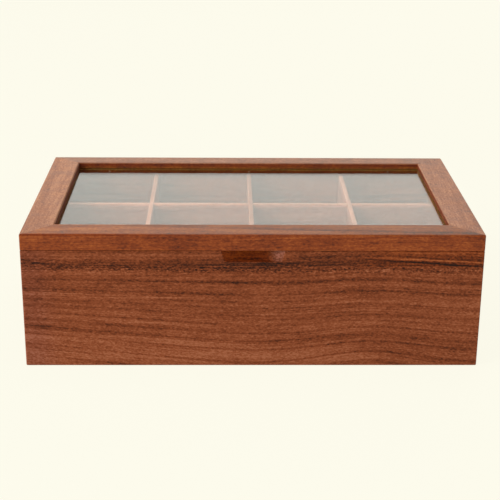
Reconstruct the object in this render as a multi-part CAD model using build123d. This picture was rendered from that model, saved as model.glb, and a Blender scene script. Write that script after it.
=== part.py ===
from build123d import *

import os
from math import atan2, cos, degrees, hypot, radians, sin, tan

# Tea bag organizer box: a mitred hardwood carcass, egg-crate dividers and a glazed lid on two butt hinges.
#
# Origin: the middle of the footprint, on the surface that the box stands on.
# Axes: +X to the right, +Y to the back, where the hinges are, and +Z up. The finger scoop faces -Y.
# Lengths are millimetres and angles are degrees.

# Carcass
length = 315.0
depth = 189.0
height = 97.0
wall = 10.5
base_thickness = 4.0
base_recess = 4.0
groove_depth = 5.0
groove_clearance = 0.05
base_end_gap = 0.5
corner_round = 1.0
foot_round = 0.9
seam_gap = 0.3
seam_round = 0.35

# Dividers
columns = 4
rows = 2
divider_thickness = 3.2
divider_drop = 0.8
long_divider_set_back = 5.5
divider_round = 0.5
dado_depth = 3.0
divider_clearance = 0.1

# Finger scoop in the front board
scoop_width_top = 44.0
scoop_width_bottom = 39.5
scoop_height = 7.8
scoop_depth = 6.2
scoop_arris = 0.6

# Lid frame, glass and glazing beads
lid_thickness = 11.4
rail_width = 21.5
back_rail_width = 17.5
lid_top_round = 0.8
sight_round = 0.6
glass_drop = 4.2
glass_thickness = 3.0
glass_edge_gap = 0.6
glass_arris = 0.4
rebate_width = 6.0
bead_side_gap = 0.1
bead_recess = 0.2
bead_round = 1.6

# Brads that pin the beads
brad_radius = 0.55
brad_length = 12.0
brad_point = 1.0
brad_head_radius = 0.85
brad_head_height = 0.5
brad_clearance = 0.02
long_side_brad_count = 3
short_side_brad_count = 2
brad_end_margin = 24.0

# Hinges
hinge_inset = 62.0
hinge_length = 26.0
knuckle_count = 3
knuckle_gap = 0.2
barrel_radius = 2.0
barrel_clearance = 0.3
knuckle_clearance = 0.15
pin_radius = 0.8
pin_clearance = 0.04
pin_head_radius = 1.25
pin_head_height = 0.35
pin_head_arris = 0.15
leaf_width = 6.2
leaf_thickness = 1.0
mortise_clearance = 0.1
axis_inset = 3.0
open_angle = 100.0
stop_clearance = 0.12

# Screws in the hinge leaves
screw_radius = 0.8
screw_head_radius = 1.5
screw_head_height = 1.0
screw_length = 7.0
screw_point = 1.6
screw_clearance = 0.03
screw_setback = 4.2
screw_end_margin = 5.0
screws_per_leaf = 2
slot_width = 0.4
slot_depth = 0.35

# Levels and widths that follow from the sizes above
rim_z = height - lid_thickness - seam_gap
lid_bottom_z = height - lid_thickness
base_top_z = base_recess + groove_clearance + base_thickness
glass_top_z = height - glass_drop
glass_bottom_z = glass_top_z - glass_thickness
divider_top_z = rim_z - divider_drop
inside_x = length - 2 * wall
inside_y = depth - 2 * wall
sight_x = length - 2 * rail_width
sight_y = depth - rail_width - back_rail_width
sight_middle = (rail_width - back_rail_width) / 2
axis_y = depth / 2 - axis_inset
axis_z = rim_z + seam_gap / 2
tip_share = 0.2  # how much of its radius a brad or screw keeps at the tip of its point
shank_sides = 8  # shanks this thin are eight-sided, which passes for round
head_sides = 16
spare = 2.0  # how far a cutter runs past what it cuts
near = 0.01  # how close two levels count as the same


def slab(x_size, y_size, bottom, top, middle_y=0.0):
    """An upright block, centred left to right and on a line across the box."""
    centred = (Align.CENTER, Align.CENTER, Align.MIN)
    return Pos(0, middle_y, bottom) * Box(x_size, y_size, top - bottom, align=centred)


def rod(radius, rod_length):
    """A round bar along X, centred on the origin."""
    return Rot(0, 90, 0) * Cylinder(radius, rod_length)


def spread(count, run, margin):
    """Even places along a run that is centred on 0, with the end ones a margin in from its ends."""
    step = (run - 2 * margin) / max(count - 1, 1)
    return [(i - (count - 1) / 2) * step for i in range(count)]


def divider_places(inside, bays, set_back=0.0):
    """The middles of the dividers that part an inside width into equal bays, or all set back from there."""
    pitch = (inside + divider_thickness) / bays
    return [(i - bays / 2) * pitch + set_back for i in range(1, bays)]


def cross_places():
    """The x of each cross divider."""
    return divider_places(inside_x, columns)


def long_places():
    """The y of each long divider: the back bays are a little shallower than the front ones."""
    return divider_places(inside_y, rows, long_divider_set_back)


def mitred(blank, bottom, top, outside, opening):
    """Cuts a rectangular frame into its four members, from its outer corners to those of its opening.

    The outside and the opening are each given as a width, a depth and the middle of that depth.
    """
    quarters = [(-1, -1), (1, -1), (1, 1), (-1, 1)]
    tips, heels = [[Vector(x * wide / 2, middle + y * deep / 2) for x, y in quarters]
                   for wide, deep, middle in (outside, opening)]
    past = [(tip - heel).normalized() * spare for tip, heel in zip(tips, heels)]
    tips = [tip + step for tip, step in zip(tips, past)]
    heels = [heel - step for heel, step in zip(heels, past)]
    members = {}
    for first, side in enumerate(("front", "right", "back", "left")):
        second = (first + 1) % 4
        outline = Polyline(tips[first], tips[second], heels[second], heels[first], close=True)
        footprint = Pos(0, 0, bottom - spare) * make_face(outline)
        wedge = extrude(footprint, amount=top - bottom + 2 * spare, dir=(0, 0, 1))
        members[side] = blank & wedge
    return members


def outer_corners(blank):
    """The four upright edges at the outside corners."""
    reach = hypot(length, depth) / 2 - near
    upright = blank.edges().filter_by(Axis.Z)
    return [edge for edge in upright if hypot(edge.center().X, edge.center().Y) > reach]


def face_loop(blank, level, outside=True):
    """The edges round the outside, or round the opening, of the flat face at a level."""
    flat = [face for face in blank.faces().filter_by(Axis.Z) if abs(face.center().Z - level) < near]
    loops = [flat[0].outer_wire()] if outside else flat[0].inner_wires()
    return [edge for loop in loops for edge in loop.edges()]


def stop_bevel(upward):
    """The wedge planed off the back of the lid (upward) or of the carcass, from the hinge axis outwards.

    Both bevels are planed along lines through the hinge axis, and they lean so that they meet when
    the lid is open. Each stands back from its line by the stop clearance.
    """
    way = 1 if upward else -1
    lean = radians((180 - open_angle) / 2)
    near_y, near_z = -stop_clearance * cos(lean), stop_clearance * sin(lean)
    far_y = axis_inset + spare
    far_z = near_z + (far_y - near_y) / tan(lean)
    corners = [(near_y, near_z), (near_y, -spare), (far_y, -spare), (far_y, far_z)]
    profile = Polyline(*[(0, y, way * z) for y, z in corners], close=True)
    wedge = extrude(make_face(profile), amount=length + 2 * spare, dir=(1, 0, 0))
    return Pos(-length / 2 - spare, axis_y, axis_z) * wedge


def finger_scoop():
    """The cone of a tapered cutter that stands off the front face and bites into the top of the board."""
    half_top, half_bottom = scoop_width_top / 2, scoop_width_bottom / 2
    stand_off = (half_top**2 - scoop_depth**2) / (2 * scoop_depth)
    radius_top, radius_bottom = hypot(stand_off, half_top), hypot(stand_off, half_bottom)
    tall = scoop_height + seam_gap
    radius_end = radius_bottom + (radius_top - radius_bottom) * tall / scoop_height
    cutter = Cone(radius_bottom, radius_end, tall, align=(Align.CENTER, Align.CENTER, Align.MIN))
    cutter = chamfer(cutter.edges().sort_by(Axis.Z)[0], scoop_arris)
    return Pos(0, -depth / 2 - stand_off, rim_z - scoop_height) * cutter


def hinge_centres():
    """The middles of the two hinges along the back."""
    return {"left": -length / 2 + hinge_inset, "right": length / 2 - hinge_inset}


def knuckles(owner):
    """The middles of the knuckles that belong to the box leaf (0) or to the lid leaf (1)."""
    pitch = hinge_length / knuckle_count
    return [(i + 0.5) * pitch - hinge_length / 2 for i in range(knuckle_count) if i % 2 == owner]


def screw_places():
    """Where the screws stand on a leaf, measured from the middle of the hinge and from its axis."""
    return [(x, -screw_setback) for x in spread(screws_per_leaf, hinge_length, screw_end_margin)]


def hinge_leaf(lid_side):
    """One leaf of a butt hinge, with its knuckles on the axis, which is the X axis here."""
    way = 1 if lid_side else -1
    own, other = (1, 0) if lid_side else (0, 1)
    pitch = hinge_length / knuckle_count
    level = way * (seam_gap + leaf_thickness) / 2
    leaf = Pos(0, -leaf_width / 2, level) * Box(hinge_length - knuckle_gap, leaf_width, leaf_thickness)
    for x in knuckles(other):
        leaf -= Pos(x, 0, 0) * rod(barrel_radius + knuckle_clearance, pitch + knuckle_gap)
    for x in knuckles(own):
        leaf += Pos(x, 0, 0) * rod(barrel_radius, pitch - knuckle_gap)
    leaf -= rod(pin_radius + pin_clearance, hinge_length + spare)
    for x, y in screw_places():
        leaf -= Pos(x, y, way * seam_gap / 2) * Rot(0 if lid_side else 180, 0, 0) * screw(screw_clearance)
    return leaf


def hinge_pin():
    """A pin with its two ends peened over the outer knuckles."""
    knuckle_run = hinge_length - knuckle_gap
    pin = rod(pin_radius, knuckle_run + pin_head_height)
    for side in (-1, 1):
        head = rod(pin_head_radius, pin_head_height)
        outer_edge = head.edges().sort_by(Axis.X)[-1 if side > 0 else 0]
        pin += Pos(side * (knuckle_run + pin_head_height) / 2, 0, 0) * chamfer(outer_edge, pin_head_arris)
    return pin


def plug(radius, end_radius, tall, sides):
    """A many-sided plug along +Z that narrows from one radius to another."""
    narrowing = degrees(atan2(radius - end_radius, tall))
    return extrude(RegularPolygon(radius, sides), amount=tall, taper=narrowing)


def spike(radius, reach, point):
    """The shank of a brad or screw along +Z from the origin, with its point at the far end."""
    shank = extrude(RegularPolygon(radius, shank_sides), amount=reach - point)
    return shank + Pos(0, 0, reach - point) * plug(radius, tip_share * radius, point, shank_sides)


def screw(grow=0.0):
    """A countersunk slotted screw along +Z, its head's face at the origin. Grown, it cuts its own hole."""
    head = plug(screw_head_radius + grow, screw_radius + grow, screw_head_height, head_sides)
    body = head + spike(screw_radius + grow, screw_length + grow, screw_point)
    if grow:
        way_in = extrude(RegularPolygon(screw_head_radius + grow, head_sides), amount=-spare)
        return body + way_in
    return body - Pos(0, 0, slot_depth / 2) * Box(3 * screw_head_radius, slot_width, slot_depth)


def leaf_screws(lid_side, grow=0.0):
    """The screws of both hinges on one side of the seam, seated in the mortised leaves."""
    way = 1 if lid_side else -1
    placed = []
    for x_hinge in hinge_centres().values():
        for x, y in screw_places():
            spot = Pos(x_hinge + x, axis_y + y, axis_z + way * seam_gap / 2)
            placed.append(spot * Rot(0 if lid_side else 180, 0, 0) * screw(grow))
    return placed


def hinge_mortises(lid_side):
    """What the joiner takes out of the wood for one leaf of each hinge and for the barrel."""
    way = 1 if lid_side else -1
    deep = leaf_thickness + mortise_clearance / 2
    wide = leaf_width + mortise_clearance
    seat = Box(hinge_length + 2 * mortise_clearance, wide, deep + seam_gap)
    barrel_run = hinge_length + 2 * (pin_head_height + barrel_clearance)
    cuts = []
    for x in hinge_centres().values():
        cuts.append(Pos(x, axis_y - wide / 2, axis_z + way * deep / 2) * seat)
        cuts.append(Pos(x, axis_y, axis_z) * rod(barrel_radius + barrel_clearance, barrel_run))
    return cuts


def brad(grow=0.0):
    """A headed brad along +Y, with its head's face at the origin. Grown, it cuts its own hole."""
    head = extrude(RegularPolygon(brad_head_radius + grow, shank_sides), amount=brad_head_height)
    return Rot(-90, 0, 0) * (head + spike(brad_radius + grow, brad_length + grow, brad_point))


def bead_brads(grow=0.0):
    """Brads driven level through the beads, from the sight line into the lid frame."""
    level = (lid_bottom_z + bead_recess + glass_bottom_z) / 2
    sides = [(0, sight_x, sight_y, long_side_brad_count), (180, sight_x, sight_y, long_side_brad_count),
             (90, sight_y, sight_x, short_side_brad_count), (-90, sight_y, sight_x, short_side_brad_count)]
    placed = []
    for turn, run, across, count in sides:
        for x in spread(count, run, brad_end_margin):
            spot = Pos(0, sight_middle, 0) * Rot(0, 0, turn) * Pos(x, across / 2, level)
            placed.append(spot * brad(grow))
    return placed


def carcass():
    """The four mitred boards, with the groove for the base, the dados, the scoop and the hinge mortises."""
    blank = slab(length, depth, 0, rim_z) - slab(inside_x, inside_y, -spare, rim_z + spare)
    blank = fillet(outer_corners(blank), corner_round)
    blank = fillet(face_loop(blank, 0), foot_round)
    blank = fillet(face_loop(blank, rim_z), seam_round)
    groove_top = base_top_z + groove_clearance
    blank -= slab(inside_x + 2 * groove_depth, inside_y + 2 * groove_depth, base_recess, groove_top)
    slot = divider_thickness + 2 * divider_clearance
    for x in cross_places():
        blank -= Pos(x, 0, 0) * slab(slot, inside_y + 2 * dado_depth, base_top_z, rim_z + spare)
    for y in long_places():
        blank -= Pos(0, y, 0) * slab(inside_x + 2 * dado_depth, slot, base_top_z, rim_z + spare)
    blank -= finger_scoop()
    blank -= stop_bevel(upward=False)
    for cut in hinge_mortises(lid_side=False) + leaf_screws(False, screw_clearance):
        blank -= cut
    members = mitred(blank, 0, rim_z, (length, depth, 0), (inside_x, inside_y, 0))
    return {f"{side}_board": board for side, board in members.items()}


def sight_edge(member):
    """The upper edge of a lid member beside the glass, which is the one nearest the middle of the opening."""
    middle = Vector(0, sight_middle, height)
    return min(face_loop(member, height), key=lambda edge: (edge.center() - middle).length)


def lid_frame():
    """The four mitred members of the lid, rebated from below for the glass and its beads."""
    blank = slab(length, depth, lid_bottom_z, height)
    blank -= slab(sight_x, sight_y, 0, height + spare, sight_middle)
    blank = fillet(outer_corners(blank), corner_round)
    blank = fillet(face_loop(blank, height), lid_top_round)
    blank = fillet(face_loop(blank, lid_bottom_z), seam_round)
    blank -= slab(sight_x + 2 * rebate_width, sight_y + 2 * rebate_width, 0, glass_top_z, sight_middle)
    blank -= stop_bevel(upward=True)
    cuts = hinge_mortises(lid_side=True) + leaf_screws(True, screw_clearance) + bead_brads(brad_clearance)
    for cut in cuts:
        blank -= cut
    kinds = {"front": "rail", "back": "rail", "left": "stile", "right": "stile"}
    members = mitred(blank, lid_bottom_z, height, (length, depth, 0), (sight_x, sight_y, sight_middle))
    eased = {side: fillet(sight_edge(member), sight_round) for side, member in members.items()}
    return {f"lid_{side}_{kinds[side]}": member for side, member in eased.items()}


def glass_pane():
    """The pane, laid in the rebate against the lip, with its cut edges dulled."""
    wide = 2 * (rebate_width - glass_edge_gap)
    pane = slab(sight_x + wide, sight_y + wide, glass_bottom_z, glass_top_z, sight_middle)
    return chamfer(pane.faces().filter_by(Axis.Z).edges(), glass_arris)


def glazing_beads():
    """Four mitred strips under the glass, with their lower sight edges rounded."""
    bottom = lid_bottom_z + bead_recess
    wide = 2 * (rebate_width - bead_side_gap)
    outside, opening = (sight_x + wide, sight_y + wide, sight_middle), (sight_x, sight_y, sight_middle)
    blank = slab(sight_x + wide, sight_y + wide, bottom, glass_bottom_z, sight_middle)
    blank -= slab(sight_x, sight_y, 0, height, sight_middle)
    sight_edges = face_loop(blank, bottom, outside=False)
    blank = fillet(sight_edges, min(bead_round, (glass_bottom_z - bottom) / 2))
    for cut in bead_brads(brad_clearance):
        blank -= cut
    members = mitred(blank, bottom, glass_bottom_z, outside, opening)
    return {f"glass_bead_{side}": bead for side, bead in members.items()}


def base_panel():
    """The panel that floats in the groove round the carcass."""
    tongue = 2 * (groove_depth - base_end_gap)
    return slab(inside_x + tongue, inside_y + tongue, base_top_z - base_thickness, base_top_z)


def dividers():
    """Boards halved over each other: the long ones are slotted from the top, the cross ones from below."""
    tongue = 2 * (dado_depth - divider_clearance)
    slot = divider_thickness + 2 * divider_clearance
    half = (base_top_z + divider_top_z) / 2
    parts = {}
    for number, y in enumerate(long_places(), 1):
        board = slab(inside_x + tongue, divider_thickness, base_top_z, divider_top_z)
        top_edges = board.faces().sort_by(Axis.Z)[-1].edges().filter_by(Axis.X)
        board = Pos(0, y, 0) * fillet(top_edges, divider_round)
        for x in cross_places():
            board -= Pos(x, y, 0) * slab(slot, 2 * divider_thickness, half - divider_clearance, rim_z)
        parts[f"long_divider_{number}" if rows > 2 else "long_divider"] = board
    for number, x in enumerate(cross_places(), 1):
        board = slab(divider_thickness, inside_y + tongue, base_top_z, divider_top_z)
        top_edges = board.faces().sort_by(Axis.Z)[-1].edges().filter_by(Axis.Y)
        board = Pos(x, 0, 0) * fillet(top_edges, divider_round)
        for y in long_places():
            board -= Pos(x, y, 0) * slab(2 * divider_thickness, slot, 0, half + divider_clearance)
        parts[f"cross_divider_{number}"] = board
    return parts


def hinges():
    """Two butt hinges: a leaf on the box, a leaf on the lid and a pin each, and all their screws."""
    parts = {}
    for side, x in hinge_centres().items():
        spot = Pos(x, axis_y, axis_z)
        parts[f"hinge_{side}_box_leaf"] = spot * hinge_leaf(lid_side=False)
        parts[f"hinge_{side}_lid_leaf"] = spot * hinge_leaf(lid_side=True)
        parts[f"hinge_{side}_pin"] = spot * hinge_pin()
    parts["hinge_box_screws"] = Compound(children=leaf_screws(lid_side=False))
    parts["hinge_lid_screws"] = Compound(children=leaf_screws(lid_side=True))
    return parts


def main():
    """Makes every piece and writes each to its own STEP file."""
    parts = {**carcass(), "base_panel": base_panel(), **dividers(), **lid_frame()}
    parts |= {"glass_pane": glass_pane(), **glazing_beads(), "bead_brads": Compound(children=bead_brads())}
    parts |= hinges()
    os.makedirs("parts", exist_ok=True)
    for name, shape in parts.items():
        export_step(shape, f"parts/{name}.step")


main()
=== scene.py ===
from math import cos, pi, radians, sin

import bpy
import numpy as np
from mathutils import Matrix, Vector


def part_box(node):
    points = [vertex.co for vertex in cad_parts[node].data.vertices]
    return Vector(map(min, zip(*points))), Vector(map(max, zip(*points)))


# Tea bag organizer box: satin brown hardwood, a glazed lid and pale studio light.
# Lengths are metres, except in the wood's settings and where a note says so: those are millimetres.

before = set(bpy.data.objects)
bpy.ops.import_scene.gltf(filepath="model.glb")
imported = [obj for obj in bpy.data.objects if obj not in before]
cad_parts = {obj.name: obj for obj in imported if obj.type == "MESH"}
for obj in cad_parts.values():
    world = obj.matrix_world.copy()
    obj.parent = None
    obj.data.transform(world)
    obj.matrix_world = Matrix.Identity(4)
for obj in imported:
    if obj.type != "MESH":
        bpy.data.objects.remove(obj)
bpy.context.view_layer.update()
millimetre = 0.001
print("frame loaded:", len(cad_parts), "nodes")


# small helpers for the node trees: each value is a number, a tuple or a socket

def plug(tree, socket, value):
    if isinstance(value, bpy.types.NodeSocket):
        tree.links.new(value, socket)
    else:
        socket.default_value = value


def addNode(tree, kind, inputs=None, **attributes):
    node = tree.nodes.new(kind)
    for name, value in attributes.items():
        setattr(node, name, value)
    for name, value in (inputs or {}).items():
        plug(tree, node.inputs[name], value)
    return node


def calc(tree, operation, *values, clamp=False):
    node = addNode(tree, "ShaderNodeMath", operation=operation, use_clamp=clamp)
    for socket, value in zip(node.inputs, values):
        plug(tree, socket, value)
    return node.outputs[0]


def vectorCalc(tree, operation, first, second):
    node = addNode(tree, "ShaderNodeVectorMath", operation=operation)
    plug(tree, node.inputs[0], first)
    plug(tree, node.inputs[1], second)
    return node.outputs[0]


def remap(tree, value, low, high):
    # a smooth step from 0 at low to 1 at high, held at its ends
    inputs = {"Value": value, "From Min": low, "From Max": high}
    return addNode(tree, "ShaderNodeMapRange", inputs, interpolation_type="SMOOTHSTEP").outputs[0]


def mixColour(tree, amount, first, second, blend="MIX"):
    node = addNode(tree, "ShaderNodeMix", data_type="RGBA", blend_type=blend)
    plug(tree, node.inputs[0], amount)
    plug(tree, node.inputs[6], first)
    plug(tree, node.inputs[7], second)
    return node.outputs[2]


def bell(tree, value):
    # 1 where the value is 0, falling to nothing on both sides
    squared = calc(tree, "MULTIPLY", value, value)
    return calc(tree, "EXPONENT", calc(tree, "MULTIPLY", squared, -1.0))


def tinted(tree, colour, tint):
    return mixColour(tree, 1.0, colour, (*tint, 1), "MULTIPLY")


def ramp(tree, value, stops):
    node = addNode(tree, "ShaderNodeValToRGB", {"Fac": value})
    elements = node.color_ramp.elements
    while len(elements) < len(stops):
        elements.new(0.5)
    for element, (place, colour) in zip(elements, stops):
        element.position = place
        element.color = (*colour, 1)
    return node.outputs[0]


def newMaterial(name):
    material = bpy.data.materials.new(name)
    material.use_nodes = True
    tree = material.node_tree
    tree.nodes.clear()
    output = addNode(tree, "ShaderNodeOutputMaterial")
    return material, tree, output.inputs["Surface"]


def dress(material, nodeNames):
    for name in nodeNames:
        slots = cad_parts[name].data.materials
        slots.clear()
        slots.append(material)


woodPalette = {
    "darkest": (0.014, 0.003, 0.001),
    "dark": (0.082, 0.016, 0.003),
    "middle": (0.200, 0.042, 0.009),
    "light": (0.300, 0.076, 0.022),
    "bright": (0.420, 0.135, 0.050),
}

# every noise in the wood is stretched along the fibres: its sizes are length, width and thickness in
# millimetres, and a layer's fourth number is how far it moves the tone, from 0 darkest to 1 bright
carcassLook = {
    "grain": "X",  # the way the fibres run
    "seed": 0.0,
    "tone": 0.645,
    "layers": {
        "broad": (320, 17, 24, 0.30),
        "bands": (420, 5.5, 12, 0.28),
        "lines": (330, 1.7, 6, 0.46),
        "hairs": (200, 0.8, 3, 0.50),
        "threads": (30, 0.9, 1.3, 0.40),
        "flecks": (1.6, 0.8, 1.0, 1.20),
        "mottle": (15, 10, 12, 0.25),
    },
    "drift": 10.0,  # how far the fibres wander over the board
    "driftSize": (130, 60, 45),
    "ringSpacing": 8.6,
    "ringDepth": 0.17,
    "ringSway": 2.4,
    "ringSwaySize": (60, 9, 14),
    "ringFade": 1.26,  # how much of a ring's darkness comes and goes along the board
    "ringFadeSize": (70, 6, 9),
    "gapSize": (24, 2.2, 4),  # the breaks in a streak, and the noise that shuts and opens it
    "gapEdges": (-0.10, 0.08),
    "poreLength": 3.4,
    "poreWidth": 0.95,
    "poreAmount": 0.27,
    "poreFollowsBands": -0.5,  # larger pores in the dark bands
    "poreDark": 0.44,
    "poreCore": 0.5,  # the share of a pore's width that is fully dark
    "tint": (1.0, 1.0, 1.0),
    "streaks": [],
    "patches": [],
    "roughness": 0.42,
    "mottleRoughness": 0.2,
    "poreRoughness": 0.2,
    "specular": 0.24,
    "wear": 0.10,  # lighter along the arrises
    "wornEdge": (1.1, 0.1, 2.0),  # from this far in, to full wear, and how uneven that is
    "relief": {"threads": 0.6, "lines": 0.5, "flecks": 0.5},
    "poreRelief": -0.8,
    "reliefStrength": 0.4,
    "reliefDepth": 0.12,
}


ringScale = {
    "foot": -30.0,  # the ramp of the rings goes from this height over this span
    "span": 130.0,
    "uppermost": 80.0,
    "count": 10,
    "below": 3.0,  # how far a ring's tone reaches down and up from its line
    "above": 1.3,
    # how uneven the heights and depths are, and how fast that turns from ring to ring
    "unevenHeight": 0.35,
    "heightTurn": 2.4,
    "unevenDepth": 0.5,
    "depthTurn": 1.7,
}


def growthRings(look):
    # heights on the board and depths of tone, from the uppermost down, both a little uneven
    rings = []
    for ring in range(ringScale["count"]):
        uneven = ringScale["unevenHeight"] * sin(ringScale["heightTurn"] * ring + look["seed"])
        stronger = ringScale["unevenDepth"] * sin(ringScale["depthTurn"] * ring + look["seed"])
        height = ringScale["uppermost"] - look["ringSpacing"] * (ring + uneven)
        rings.append((height, look["ringDepth"] * (1 + stronger)))
    return rings


def ringTone(tree, level, rings):
    # every ring darkens slowly from below and ends in a soft line: three stops of one ramp
    foot, span = ringScale["foot"], ringScale["span"]
    stops = []
    for height, depth in sorted(rings):
        stops += [(height - ringScale["below"], 0.0), (height, depth), (height + ringScale["above"], 0.0)]
    stops = [((height - foot) / span, (depth, depth, depth)) for height, depth in stops]
    share = calc(tree, "DIVIDE", calc(tree, "SUBTRACT", level, foot), span, clamp=True)
    return ramp(tree, share, stops)


def grainRise(tree, along, across, shape):
    # the rings climb to the left end, more so lower down, and arch over a crest on the right
    depth = calc(tree, "DIVIDE", calc(tree, "SUBTRACT", shape["top"], across), shape["top"], clamp=True)
    deeper = calc(tree, "POWER", depth, shape["lowPower"])
    leftward = calc(tree, "DIVIDE", along, shape["leftEnd"], clamp=True)
    leftward = calc(tree, "POWER", leftward, shape["leftPower"])
    climb = calc(tree, "ADD", calc(tree, "MULTIPLY", depth, shape["climb"]),
                 calc(tree, "MULTIPLY", deeper, shape["climbLow"]))
    fromCrest = calc(tree, "SUBTRACT", along, shape["crestAt"])
    arch = bell(tree, calc(tree, "DIVIDE", fromCrest, shape["crestHalfWidth"]))
    crest = calc(tree, "MULTIPLY_ADD", deeper, shape["crestLow"], shape["crest"])
    return calc(tree, "MULTIPLY_ADD", arch, crest, calc(tree, "MULTIPLY", leftward, climb))


def nearArris(tree, place, nodeName):
    # the distance to a board's nearest arris is the middle one of its distances to three faces
    low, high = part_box(nodeName)
    split = addNode(tree, "ShaderNodeSeparateXYZ", {"Vector": place}).outputs
    gaps = []
    for axis in range(3):
        middle, half = (low[axis] + high[axis]) / 2, (high[axis] - low[axis]) / 2
        offMiddle = calc(tree, "ABSOLUTE", calc(tree, "SUBTRACT", split[axis], middle))
        gaps.append(calc(tree, "SUBTRACT", half, offMiddle))
    larger = [calc(tree, "MAXIMUM", gaps[one], gaps[other]) for one, other in ((0, 1), (1, 2), (0, 2))]
    return calc(tree, "MINIMUM", calc(tree, "MINIMUM", larger[0], larger[1]), larger[2])


# the noises of one board differ by these
noiseShift = {"drift": 0.0, "perLayer": 1.7, "ringFade": 20.0, "ringSway": 22.0, "gaps": 24.0}

# a patch is a box on the board where the colour is multiplied by a tint and the roughness goes up by
# dull; it has two corners, and past them it fades out over so many millimetres along each axis
hardEdge = (0.3, 0.3, 0.3)


def tintBox(low, high, tint, dull=0.0, fade=hardEdge):
    return {"from": low, "to": high, "tint": tint, "dull": dull, "fade": fade}


def inPatch(tree, place, patch):
    split = addNode(tree, "ShaderNodeSeparateXYZ", {"Vector": place}).outputs
    inside = 1.0
    for value, start, end, soft in zip(split, patch["from"], patch["to"], patch["fade"]):
        middle, half = (start + end) / 2 * millimetre, (end - start) / 2 * millimetre
        off = calc(tree, "ABSOLUTE", calc(tree, "SUBTRACT", value, middle))
        inside = calc(tree, "MULTIPLY", inside, remap(tree, off, half + soft * millimetre, half))
    return inside


# a streak is a line of other tone at a height on the board, or at a depth on its top; it may slope,
# start and end along the board, have a tail that lifts at the left end, be broken by a noise, widen
# the pores or show more flecks
plainStreak = {
    "top": False,
    "slope": 0.0,
    "change": 0.0,
    "pores": 0.0,
    "speckle": 0.0,
    "tail": 0.0,
    "broken": 0.0,
}
tailLength = 9.0
boardLeftEnd = -157.5


def streakMask(tree, along, level, streak, gaps):
    height = calc(tree, "MULTIPLY_ADD", along, streak["slope"], streak["at"])
    if streak["tail"]:
        fromEnd = calc(tree, "MULTIPLY", calc(tree, "SUBTRACT", along, boardLeftEnd), -1 / tailLength)
        height = calc(tree, "MULTIPLY_ADD", calc(tree, "EXPONENT", fromEnd), streak["tail"], height)
    on = bell(tree, calc(tree, "DIVIDE", calc(tree, "SUBTRACT", level, height), streak["half"]))
    if "from" in streak:
        on = calc(tree, "MULTIPLY", on, remap(tree, along, streak["from"], streak["to"]))
    if "until" in streak:
        on = calc(tree, "MULTIPLY", on, remap(tree, along, streak["end"], streak["until"]))
    if streak["broken"]:
        kept = calc(tree, "MULTIPLY_ADD", gaps, streak["broken"], 1 - streak["broken"])
        on = calc(tree, "MULTIPLY", on, kept)
    return on


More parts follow.
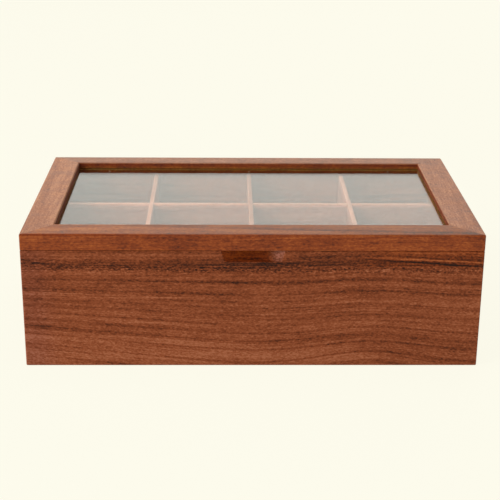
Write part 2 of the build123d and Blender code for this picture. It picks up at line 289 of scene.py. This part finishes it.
def woodMaterial(name, nodeName, changes):
    look = {**carcassLook, **changes}
    material, tree, surface = newMaterial(name)
    place = addNode(tree, "ShaderNodeTexCoord").outputs["Object"]
    turn = {"X": (0, 0, 0), "Y": (0, 0, -pi / 2)}[look["grain"]]
    inMillimetres = (1 / millimetre, 1 / millimetre, 1 / millimetre)
    onBoard = addNode(tree, "ShaderNodeMapping", {
        "Vector": place, "Rotation": turn, "Scale": inMillimetres}).outputs[0]
    along, deep, across = addNode(tree, "ShaderNodeSeparateXYZ", {"Vector": onBoard}).outputs

    def stretched(vector, size, shift, detail=2.0):
        # a noise from about -0.5 to 0.5; each shift gives it another pattern
        length, width, thick = size
        vector = vectorCalc(tree, "MULTIPLY", vector, (1 / length, 1 / thick, 1 / width))
        inputs = {"Vector": vector, "Scale": 1.0, "Detail": detail, "W": look["seed"] + shift}
        noise = addNode(tree, "ShaderNodeTexNoise", inputs, noise_dimensions="4D").outputs["Fac"]
        return calc(tree, "SUBTRACT", noise, 0.5)

    # the fibres: a height that is bent by a slow noise and by the board's own figure
    wander = stretched(onBoard, look["driftSize"], noiseShift["drift"], detail=1.0)
    level = calc(tree, "SUBTRACT", across, calc(tree, "MULTIPLY", wander, look["drift"]))
    if "rise" in look:
        level = calc(tree, "SUBTRACT", level, grainRise(tree, along, across, look["rise"]))
    fibres = addNode(tree, "ShaderNodeCombineXYZ", {"X": along, "Y": deep, "Z": level}).outputs[0]

    tone = look["tone"]
    noises = {}
    for order, (layer, (*size, depth)) in enumerate(look["layers"].items(), start=1):
        noises[layer] = stretched(fibres, size, noiseShift["perLayer"] * order)
        tone = calc(tree, "MULTIPLY_ADD", noises[layer], depth, tone)

    rings = look.get("rings", growthRings(look))
    strength = stretched(fibres, look["ringFadeSize"], noiseShift["ringFade"])
    strength = calc(tree, "MULTIPLY_ADD", strength, look["ringFade"], 1.0)
    sway = stretched(fibres, look["ringSwaySize"], noiseShift["ringSway"])
    sway = calc(tree, "MULTIPLY", sway, look["ringSway"])
    ringDark = calc(tree, "MULTIPLY", ringTone(tree, calc(tree, "ADD", level, sway), rings), strength)
    tone = calc(tree, "SUBTRACT", tone, ringDark)

    # pores: short dark dashes, larger where the bands are dark
    poreScale = (1 / look["poreLength"], 1 / look["poreWidth"], 1 / look["poreWidth"])
    inputs = {"Vector": vectorCalc(tree, "MULTIPLY", fibres, poreScale), "Scale": 1.0, "W": look["seed"]}
    cells = addNode(tree, "ShaderNodeTexVoronoi", inputs, voronoi_dimensions="4D").outputs["Distance"]
    poreEdge = calc(tree, "MULTIPLY_ADD", noises["bands"], look["poreFollowsBands"], look["poreAmount"])

    gaps = remap(tree, stretched(fibres, look["gapSize"], noiseShift["gaps"]), *look["gapEdges"])
    for line in look["streaks"]:
        streak = {**plainStreak, **line}
        lineLevel = calc(tree, "ADD", deep if streak["top"] else across, sway)
        on = streakMask(tree, along, lineLevel, streak, gaps)
        tone = calc(tree, "MULTIPLY_ADD", on, streak["change"], tone)
        poreEdge = calc(tree, "MULTIPLY_ADD", on, streak["pores"], poreEdge)
        if streak["speckle"]:
            flecks = calc(tree, "MULTIPLY", noises["flecks"], streak["speckle"])
            tone = calc(tree, "MULTIPLY_ADD", on, flecks, tone)

    wearStart, wearFull, uneven = (size * millimetre for size in look["wornEdge"])
    fromArris = calc(tree, "MULTIPLY_ADD", noises["mottle"], uneven, nearArris(tree, place, nodeName))
    wear = remap(tree, fromArris, wearStart, wearFull)
    tone = calc(tree, "MULTIPLY_ADD", wear, look["wear"], tone)

    shades = woodPalette
    stops = [(0.0, shades["darkest"]), (0.25, shades["dark"]), (0.5, shades["middle"]),
             (0.75, shades["light"]), (1.0, shades["bright"])]
    colour = tinted(tree, ramp(tree, tone, stops), look["tint"])
    outOfPore = remap(tree, cells, calc(tree, "MULTIPLY", poreEdge, look["poreCore"]), poreEdge)
    inPore = calc(tree, "SUBTRACT", 1.0, outOfPore)
    poreDark = calc(tree, "MULTIPLY", inPore, look["poreDark"])
    colour = mixColour(tree, poreDark, colour, (*shades["darkest"], 1))
    dull = 0.0
    for patch in look["patches"]:
        on = inPatch(tree, place, patch)
        colour = mixColour(tree, on, colour, tinted(tree, colour, patch["tint"]))
        dull = calc(tree, "MULTIPLY_ADD", on, patch["dull"], dull)

    roughness = calc(tree, "MULTIPLY_ADD", noises["mottle"], look["mottleRoughness"], look["roughness"])
    roughness = calc(tree, "MULTIPLY_ADD", inPore, look["poreRoughness"], roughness)
    roughness = calc(tree, "ADD", roughness, dull)
    height = calc(tree, "MULTIPLY", inPore, look["poreRelief"])
    for layer, amount in look["relief"].items():
        height = calc(tree, "MULTIPLY_ADD", noises[layer], amount, height)
    bump = addNode(tree, "ShaderNodeBump", {
        "Height": height, "Strength": look["reliefStrength"],
        "Distance": look["reliefDepth"] * millimetre})
    shader = addNode(tree, "ShaderNodeBsdfPrincipled", {
        "Base Color": colour, "Roughness": roughness, "Normal": bump.outputs[0],
        "Specular IOR Level": look["specular"]})
    tree.links.new(shader.outputs[0], surface)
    return material


frontFigure = {
    "seed": 3.1,
    "drift": 1.5,
    "poreLength": 2.4,
    "poreWidth": 0.8,
    "tint": (1.02, 1.08, 1.33),
    "specular": 0.14,
    "rise": {"top": 75.0, "lowPower": 3.0, "leftEnd": -157.0, "leftPower": 1.3, "climb": 24.0,
             "climbLow": -7.0, "crestAt": 82.0, "crestHalfWidth": 42.0, "crest": 3.4, "crestLow": 9.0},
    "rings": [(62.2, 0.20), (53.2, 0.16), (43.6, 0.12), (37.6, 0.16), (30.9, 0.11),
              (25.0, 0.18), (18.3, 0.16), (11.6, 0.19), (2.6, 0.16), (-7.0, 0.18)],
    "streaks": [
        # the dark band under the scoop: a crisp line with a speckled zone below it
        {"at": 75.1, "half": 0.50, "change": -0.28, "pores": 0.02, "tail": 5.0, "broken": 0.25},
        {"at": 72.0, "slope": -0.003, "half": 2.3, "change": -0.09, "pores": 0.12, "speckle": 1.1,
         "tail": 3.0},
        {"at": 75.2, "half": 5.0, "change": -0.12, "pores": 0.05, "tail": 4.0},
        {"at": 77.2, "half": 1.5, "from": -60, "to": 0, "change": -0.14, "pores": 0.04},
        {"at": 76.7, "half": 0.9, "from": -25, "to": 0, "until": 25, "end": 40, "change": -0.20},
        {"at": 78.0, "half": 0.5, "until": -50, "end": -20, "change": -0.12, "broken": 0.4},
        # painted shade along the seam, and fine pale lines between it and the band on the left
        {"at": 85.3, "half": 0.4, "from": -140, "to": -60, "until": 60, "end": 120, "change": -0.22},
        {"at": 83.0, "half": 1.0, "until": -100, "end": -40, "change": 0.12, "broken": 0.4},
        {"at": 81.6, "half": 0.4, "until": -45, "end": -20, "change": 0.10, "broken": 0.6},
        {"at": 80.0, "half": 0.6, "until": -45, "end": -20, "change": 0.15, "pores": -0.05,
         "broken": 0.4},
        # at the band's right end a black line slants down over it, with orange lines above
        {"at": 84.9, "slope": -0.0685, "half": 0.55, "from": 66, "to": 90, "change": -0.56,
         "pores": 0.05, "broken": 0.45},
        {"at": 85.2, "slope": -0.051, "half": 0.55, "from": 72, "to": 104, "change": 0.56,
         "pores": -0.1, "broken": 0.45},
        {"at": 84.6, "slope": -0.005, "half": 0.50, "from": 84, "to": 130, "change": 0.46, "broken": 0.5},
        {"at": 81.5, "half": 3.6, "from": 20, "to": 32, "change": -0.19, "pores": 0.05},
        # paler and darker stretches below the band, from the top down
        {"at": 69.2, "half": 2.2, "from": -100, "to": -50, "until": 30, "end": 60, "change": -0.17,
         "pores": 0.03},
        {"at": 68.8, "half": 0.8, "until": -100, "end": -30, "change": 0.10, "pores": -0.05,
         "broken": 0.4},
        {"at": 63.6, "half": 1.6, "from": -60, "to": -20, "until": 30, "end": 60, "change": -0.12},
        {"at": 58.0, "half": 9.0, "change": -0.07},
        {"at": 54.5, "half": 2.6, "until": -80, "end": -50, "change": 0.12},
        {"at": 51.2, "half": 0.45, "from": -150, "to": -125, "until": -60, "end": -20, "change": 0.26,
         "broken": 0.4},
        {"at": 33.0, "half": 0.6, "until": 20, "end": 90, "change": 0.16, "broken": 0.8},
        {"at": 26.6, "slope": -0.042, "half": 2.4, "until": 20, "end": 60, "change": -0.10},
        {"at": 15.6, "slope": -0.050, "half": 3.8, "until": -60, "end": 30, "change": 0.25},
        {"at": 8.0, "half": 7.0, "until": 60, "end": 105, "change": 0.22},
    ],
    "patches": [
        # the left end is darker
        tintBox((-158.0, -95.0, -1.0), (-152.0, -93.0, 86.0), (0.88, 0.88, 1.08), 0.0, (24.0, 0.3, 0.3)),
        # the scoop's face has painted shade on the left, warm and dull, and a pale painted highlight at
        # its right end, where it is glossier
        tintBox((-22.0, -94.2, 77.3), (9.0, -80.0, 86.0), (0.90, 0.62, 0.11), 0.30, (8.0, 0.3, 0.3)),
        tintBox((16.0, -94.2, 77.3), (22.0, -80.0, 86.0), (1.06, 1.36, 2.4), -0.15, (8.0, 0.3, 0.3)),
        # the right end of the band is more orange
        tintBox((100.0, -95.0, 76.0), (158.0, -93.0, 86.0), (1.05, 0.93, 0.62), 0.0, (40.0, 0.3, 4.0)),
    ],
}
lidFigure = {
    "tone": 0.64,
    "layers": {
        "broad": (120, 18, 20, 0.32),
        "bands": (150, 4.6, 6, 0.40),
        "lines": (90, 1.6, 4, 0.48),
        "hairs": (60, 0.8, 2.5, 0.36),
        "threads": (14, 0.9, 1.2, 0.54),
        "flecks": (2.0, 0.9, 1.0, 1.10),
        "mottle": (9, 12, 14, 0.50),
    },
    "drift": 14.0,
    "ringDepth": 0.12,
    "poreAmount": 0.20,
    "poreDark": 0.32,
    "specular": 0.30,
    "roughness": 0.38,
}

# the dividers' top edges are paler and greyer than their faces, a painted sheen, and the long one's front
# arris is palest, a painted highlight
dividerTopSheen = tintBox((-158.0, -95.0, 82.6), (158.0, 95.0, 86.0), (1.14, 1.34, 1.52), 0.0, (0.3, 0.3, 2.0))
dividerArrisHighlight = tintBox((-158.0, 2.0, 82.8), (158.0, 4.2, 84.2), (1.42, 1.42, 1.42), 0.0, (0.3, 0.3, 0.8))
dividerFigure = {
    "tone": 0.69,
    "roughness": 0.55,
    "tint": (1.08, 1.26, 2.0),
    "poreAmount": 0.14,
    "ringDepth": 0.12,
    "patches": [dividerTopSheen],
}
baseFigure = {"tone": 0.60, "roughness": 0.58}

# the beads are olive and dull, and the back one has painted shade along its foot
beadFigure = {**lidFigure, "tint": (0.58, 1.12, 0.82), "specular": 0.12, "roughness": 0.70}
backBeadFootShade = tintBox((-158.0, 76.0, 85.0), (158.0, 83.5, 88.2), (0.46, 0.20, 0.06), 0.0, (0.3, 0.3, 1.2))
backBeadFigure = {**beadFigure, "tint": (0.66, 1.36, 0.98), "specular": 0.05, "patches": [backBeadFootShade]}

# the lid's top is paler and greyer, a painted sheen; its faces round the glass are darkened with painted
# shade, and dull as they were never polished
sightDull = 0.45


def lidTopSheen(tint):
    # the top face retinted: a painted sheen, paler and greyer on most pieces
    return tintBox((-158.0, -95.0, 96.7), (158.0, 95.0, 98.0), tint)


frontRailPatches = [
    lidTopSheen((1.02, 1.10, 0.74)),
    # the faces round the glass: painted shade, and dull
    tintBox((-158.0, -73.2, 85.0), (158.0, -70.0, 96.2), (0.62, 0.42, 0.12), sightDull),
    # the front face is redder, and the top has painted shade that deepens to the right
    tintBox((-158.0, -95.0, 85.0), (158.0, -94.2, 96.4), (0.96, 0.76, 0.38), 0.05),
    tintBox((140.0, -95.0, 96.7), (158.0, -70.0, 98.0), (0.80, 0.80, 0.78), 0.0, (260.0, 0.3, 0.3)),
    # darker along the front arris, most at the left
    tintBox((-158.0, -95.0, 96.4), (158.0, -93.9, 98.0), (0.80, 0.58, 0.26), 0.25, (0.3, 2.4, 0.3)),
    tintBox((-158.0, -95.0, 96.4), (-110.0, -93.0, 98.0), (0.74, 0.60, 0.44), 0.2, (60.0, 1.5, 0.3)),
]
backRailPatches = [
    lidTopSheen((1.10, 1.70, 2.8)),
    # the faces round the glass: painted shade, and dull
    tintBox((-158.0, 70.0, 85.0), (158.0, 77.2, 96.2), (0.64, 0.40, 0.08), sightDull),
    # a yellower line just over the glass, and a darker inner arris
    tintBox((-158.0, 70.0, 92.0), (158.0, 77.2, 93.8), (1.15, 1.75, 1.7), 0.0, (0.3, 0.3, 1.0)),
    tintBox((-158.0, 76.5, 96.2), (158.0, 78.4, 98.0), (0.66, 0.52, 0.34), 0.2, (0.3, 1.4, 0.3)),
]
leftStilePatches = [
    lidTopSheen((1.04, 1.32, 1.48)),
    # the faces round the glass: the deepest painted shade, on the side facing away from the key lamp, and
    # dull
    tintBox((-136.2, -95.0, 85.0), (-130.0, 95.0, 96.2), (0.42, 0.28, 0.10), sightDull),
    # a darker inner arris, and a painted sheen on the top that grows to the back
    tintBox((-136.7, -95.0, 96.2), (-135.0, 95.0, 98.0), (0.42, 0.38, 0.32), 0.3, (0.7, 0.3, 0.3)),
    tintBox((-158.0, 80.0, 96.7), (-130.0, 95.0, 98.0), (1.12, 1.18, 1.25), 0.0, (0.3, 190.0, 0.3)),
]
rightStilePatches = [
    lidTopSheen((1.03, 1.32, 1.55)),
    # the faces round the glass: painted shade, and dull
    tintBox((130.0, -95.0, 85.0), (136.2, 95.0, 96.2), (0.64, 0.46, 0.16), sightDull),
    # a painted sheen on the top that grows to the back
    tintBox((130.0, 80.0, 96.7), (158.0, 95.0, 98.0), (1.12, 1.20, 1.30), 0.0, (0.3, 190.0, 0.3)),
]
frontRailStreaks = [
    {"top": True, "at": -80.8, "slope": -0.068, "half": 2.2, "from": -90, "to": -40, "change": -0.34,
     "pores": 0.06, "broken": 0.35},
    {"top": True, "at": -83.0, "half": 3.0, "until": -30, "end": 30, "change": 0.14},
    {"top": True, "at": -76.0, "half": 1.5, "until": -60, "end": -20, "change": -0.22, "broken": 0.6},
    {"top": True, "at": -75.5, "slope": -0.02, "half": 1.4, "from": 20, "to": 60, "change": 0.20,
     "broken": 0.5},
]

boards = {
    "front_board": frontFigure,
    "back_board": {"seed": 11.4, "drift": 13.0, "ringSpacing": 10.0},
    "left_board": {"grain": "Y", "seed": 17.9},
    "right_board": {"grain": "Y", "seed": 23.2},
    "lid_front_rail": {**lidFigure, "seed": 31.7, "specular": 0.24, "tone": 0.65,
                       "streaks": frontRailStreaks, "patches": frontRailPatches},
    "lid_back_rail": {**lidFigure, "seed": 37.3, "patches": backRailPatches},
    "lid_left_stile": {**lidFigure, "grain": "Y", "seed": 41.8, "tone": 0.71, "patches": leftStilePatches},
    "lid_right_stile": {**lidFigure, "grain": "Y", "seed": 47.5, "patches": rightStilePatches},
    "glass_bead_front": {**beadFigure, "seed": 53.1},
    "glass_bead_back": {**backBeadFigure, "seed": 54.9},
    "glass_bead_left": {**beadFigure, "grain": "Y", "seed": 57.6},
    "glass_bead_right": {**beadFigure, "grain": "Y", "seed": 59.2},
    "long_divider": {**dividerFigure, "seed": 61.2, "patches": [dividerTopSheen, dividerArrisHighlight]},
    "cross_divider_1": {**dividerFigure, "grain": "Y", "seed": 66.3},
    "cross_divider_2": {**dividerFigure, "grain": "Y", "seed": 71.7},
    "cross_divider_3": {**dividerFigure, "grain": "Y", "seed": 76.5},
    "base_panel": {**baseFigure, "seed": 83.4},
}

for board, figure in boards.items():
    dress(woodMaterial(board + "_wood", board, figure), [board])
print("wood:", len(boards), "boards")


glassLook = {"colour": (0.93, 0.965, 0.945, 1), "roughness": 0.0, "ior": 1.52, "transmission": 1.0}


def glassMaterial(name):
    # clear float glass; lamps pass straight through it, so the compartments are lit
    material, tree, surface = newMaterial(name)
    pane = addNode(tree, "ShaderNodeBsdfPrincipled", {
        "Base Color": glassLook["colour"], "Roughness": glassLook["roughness"],
        "IOR": glassLook["ior"], "Transmission Weight": glassLook["transmission"]})
    clear = addNode(tree, "ShaderNodeBsdfTransparent", {"Color": glassLook["colour"]})
    fromLamp = addNode(tree, "ShaderNodeLightPath").outputs["Is Shadow Ray"]
    mix = addNode(tree, "ShaderNodeMixShader", {0: fromLamp, 1: pane.outputs[0], 2: clear.outputs[0]})
    tree.links.new(mix.outputs[0], surface)
    return material


metalLook = {
    "hingeBrass": {"colour": (0.62, 0.42, 0.15), "dull": (0.40, 0.25, 0.10), "roughness": 0.30},
    "screwBrass": {"colour": (0.68, 0.47, 0.19), "dull": (0.46, 0.30, 0.12), "roughness": 0.26},
    "bradSteel": {"colour": (0.27, 0.22, 0.17), "dull": (0.15, 0.12, 0.09), "roughness": 0.55},
}
# a cloud noise is bright metal below its first level and dull above its second; depth is millimetres
tarnish = {"scale": 260.0, "detail": 4.0, "bright": 0.42, "dull": 0.68, "roughness": 0.18}
scratches = {"scale": (300, 9000, 9000), "detail": 2.0, "strength": 0.25, "depth": 0.02}


def metalMaterial(name):
    # bright metal that goes dull in clouds, with fine scratches along X
    look = metalLook[name]
    material, tree, surface = newMaterial(name)
    place = addNode(tree, "ShaderNodeTexCoord").outputs["Object"]
    inputs = {"Vector": place, "Scale": tarnish["scale"], "Detail": tarnish["detail"]}
    cloud = addNode(tree, "ShaderNodeTexNoise", inputs).outputs["Fac"]
    inputs = {"Vector": vectorCalc(tree, "MULTIPLY", place, scratches["scale"]), "Scale": 1.0,
              "Detail": scratches["detail"]}
    scratch = addNode(tree, "ShaderNodeTexNoise", inputs).outputs["Fac"]
    dulled = remap(tree, cloud, tarnish["bright"], tarnish["dull"])
    colour = mixColour(tree, dulled, (*look["colour"], 1), (*look["dull"], 1))
    roughness = calc(tree, "MULTIPLY_ADD", cloud, tarnish["roughness"], look["roughness"])
    bump = addNode(tree, "ShaderNodeBump", {
        "Height": scratch, "Strength": scratches["strength"], "Distance": scratches["depth"] * millimetre})
    shader = addNode(tree, "ShaderNodeBsdfPrincipled", {
        "Base Color": colour, "Metallic": 1.0, "Roughness": roughness, "Normal": bump.outputs[0]})
    tree.links.new(shader.outputs[0], surface)
    return material


print("glass and metal")
dress(glassMaterial("clearGlass"), ["glass_pane"])
hingeParts = ("box_leaf", "lid_leaf", "pin")
hingeNodes = [f"hinge_{side}_{part}" for side in ("left", "right") for part in hingeParts]
dress(metalMaterial("hingeBrass"), hingeNodes)
dress(metalMaterial("screwBrass"), ["hinge_box_screws", "hinge_lid_screws"])
dress(metalMaterial("bradSteel"), ["bead_brads"])


stageLook = {
    "floorHalf": 4.0,
    "floorLevel": -0.05,  # millimetres
    "floorAlbedo": (0.74, 0.73, 0.67),
    "floorGlow": (0.994, 0.976, 0.849),
    "lift": 0.94,  # how far the floor shows its glow, so that the shadow stays pale
    "backdrop": (0.974, 0.956, 0.831),
    "fill": 0.42,
    "fillColour": (1.0, 0.99, 0.97),
}
lampLook = {
    "key": {"from": (-1.9, -1.05, 1.35), "to": (0, 0, 0.05), "size": (1.3, 1.3), "radiance": 9.0,
            "colour": (1.0, 0.985, 0.96), "mirrored": True},
    "overhead": {"from": (0.0, 0.2, 2.1), "to": (0, 0, 0.05), "size": (1.6, 1.2), "radiance": 1.8,
                 "colour": (1.0, 1.0, 1.0), "mirrored": True},
    # a dim panel behind the box, which the glass mirrors as a bluish grey
    "rear": {"from": (-0.5, 2.6, 1.05), "to": (0, 0, 0.10), "size": (4.0, 1.5), "radiance": 0.24,
             "colour": (0.78, 0.84, 1.0), "mirrored": True},
    "rearFill": {"from": (0.9, 2.0, 1.3), "to": (0, 0, 0.05), "size": (1.2, 1.2), "radiance": 3.0,
                 "colour": (1.0, 0.99, 0.97), "mirrored": False},
}
cameraLook = {
    "place": (-0.01829, -0.87032, 0.37263),
    "down": 20.259,  # degrees, as the next two
    "right": 1.191,
    "roll": 0.509,
    "lens": 88.13,
    "sensor": 36.0,
}


def seenDirectly(tree):
    # 1 for what the camera sees, also mirrored or through glass, and 0 for light that falls on things
    path = addNode(tree, "ShaderNodeLightPath").outputs
    seen = calc(tree, "MAXIMUM", path["Is Camera Ray"], path["Is Glossy Ray"])
    return calc(tree, "MAXIMUM", seen, path["Is Transmission Ray"])


def makeFloor():
    # a flat square; it shows the cream of the background, darkened a little by the shadow
    level = stageLook["floorLevel"] * millimetre
    corners = np.array([(-1, -1), (1, -1), (1, 1), (-1, 1)]) * stageLook["floorHalf"]
    mesh = bpy.data.meshes.new("floor")
    mesh.from_pydata([(x, y, level) for x, y in corners.tolist()], [], [(0, 1, 2, 3)])
    floor = bpy.data.objects.new("floor", mesh)
    bpy.context.scene.collection.objects.link(floor)
    material, tree, surface = newMaterial("paleFloor")
    diffuse = addNode(tree, "ShaderNodeBsdfDiffuse", {"Color": (*stageLook["floorAlbedo"], 1)})
    glow = addNode(tree, "ShaderNodeEmission", {"Color": (*stageLook["floorGlow"], 1), "Strength": 1.0})
    seen = calc(tree, "MULTIPLY", seenDirectly(tree), stageLook["lift"])
    mix = addNode(tree, "ShaderNodeMixShader", {0: seen, 1: diffuse.outputs[0], 2: glow.outputs[0]})
    tree.links.new(mix.outputs[0], surface)
    mesh.materials.append(material)


def makeWorld():
    world = bpy.data.worlds.new("studio")
    bpy.context.scene.world = world
    world.use_nodes = True
    tree = world.node_tree
    tree.nodes.clear()
    backdrop = addNode(tree, "ShaderNodeBackground", {
        "Color": (*stageLook["backdrop"], 1), "Strength": 1.0})
    fill = addNode(tree, "ShaderNodeBackground", {
        "Color": (*stageLook["fillColour"], 1), "Strength": stageLook["fill"]})
    mix = addNode(tree, "ShaderNodeMixShader", {
        0: seenDirectly(tree), 1: fill.outputs[0], 2: backdrop.outputs[0]})
    output = addNode(tree, "ShaderNodeOutputWorld")
    tree.links.new(mix.outputs[0], output.inputs["Surface"])


def makeLamp(name):
    # an area lamp that the camera doesn't see; its energy follows from its radiance and its size
    look = lampLook[name]
    lamp = bpy.data.lights.new(name, "AREA")
    lamp.shape = "RECTANGLE"
    lamp.size, lamp.size_y = look["size"]
    lamp.energy = look["radiance"] * pi * look["size"][0] * look["size"][1]
    lamp.color = look["colour"]
    holder = bpy.data.objects.new(name, lamp)
    bpy.context.scene.collection.objects.link(holder)
    holder.location = look["from"]
    ahead = Vector(look["to"]) - Vector(look["from"])
    holder.rotation_euler = ahead.to_track_quat("-Z", "Y").to_euler()
    holder.visible_camera = False
    holder.visible_glossy = look["mirrored"]
    holder.visible_transmission = look["mirrored"]


def makeCamera():
    # looks down and a little to the right, with the small roll of the hand-held view
    down, right, roll = (radians(cameraLook[key]) for key in ("down", "right", "roll"))
    ahead = Vector((sin(right) * cos(down), cos(right) * cos(down), -sin(down)))
    level = Vector((cos(right), -sin(right), 0))
    upright = level.cross(ahead)
    side = level * cos(roll) + upright * sin(roll)
    up = upright * cos(roll) - level * sin(roll)
    data = bpy.data.cameras.new("camera")
    data.lens, data.sensor_width = cameraLook["lens"], cameraLook["sensor"]
    camera = bpy.data.objects.new("camera", data)
    bpy.context.scene.collection.objects.link(camera)
    turn = Matrix((side, up, -ahead)).transposed().to_4x4()
    camera.matrix_world = Matrix.Translation(cameraLook["place"]) @ turn
    bpy.context.scene.camera = camera


print("stage, lamps and camera")
makeFloor()
makeWorld()
for lampName in lampLook:
    makeLamp(lampName)
makeCamera()
bpy.context.scene.view_settings.view_transform = "Standard"

print("done")
